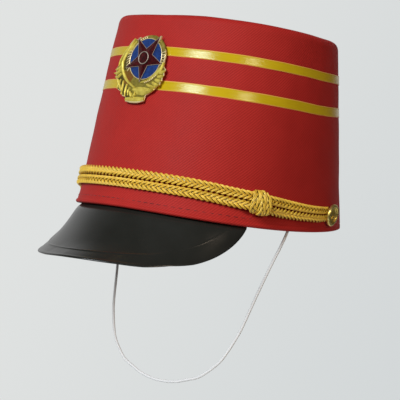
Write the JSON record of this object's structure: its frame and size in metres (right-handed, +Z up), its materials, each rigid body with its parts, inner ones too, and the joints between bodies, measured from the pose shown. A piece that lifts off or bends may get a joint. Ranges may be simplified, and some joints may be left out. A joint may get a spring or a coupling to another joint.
{
  "type": "drum major hat",
  "caption": "Tall stiff cloth band hat with a flat top, satin ribbons, moulded peak, braided cords with knots and buttons, a star badge in a wreath and an elastic chin strap.",
  "frame": {"origin": "middle of the opening for the head, level with the hem's middle height", "axes": "+Z up through the crown, -Y the way the wearer looks, +X the wearer's left"},
  "size_m": [0.1774, 0.25, 0.2611],
  "materials": {
    "red_twill": "matt polyester twill over a stiff board",
    "gold_satin": "satin ribbon with a soft sheen",
    "black_plastic": "smooth moulded plastic, half gloss",
    "gold_braid": "plaited gold yarn",
    "brass": "pressed and polished",
    "badge_gold": "cast relief, gold plated",
    "blue_enamel": "glossy enamel",
    "red_enamel": "glossy translucent enamel",
    "white_elastic": "round braided elastic"
  },
  "bodies": {
    "root": {"crown_side": "red_twill", "crown_top": "red_twill", "ribbon_upper": "gold_satin", "ribbon_lower": "gold_satin", "peak": "black_plastic", "cord_upper": "gold_braid", "cord_lower": "gold_braid", "knot_left": "gold_braid", "knot_right": "gold_braid", "button_left": "brass", "button_right": "brass", "badge_wreath": "badge_gold", "badge_field": "blue_enamel", "badge_star": "red_enamel", "badge_boss": "badge_gold", "chin_strap": "white_elastic"}
  },
  "joints": []
}
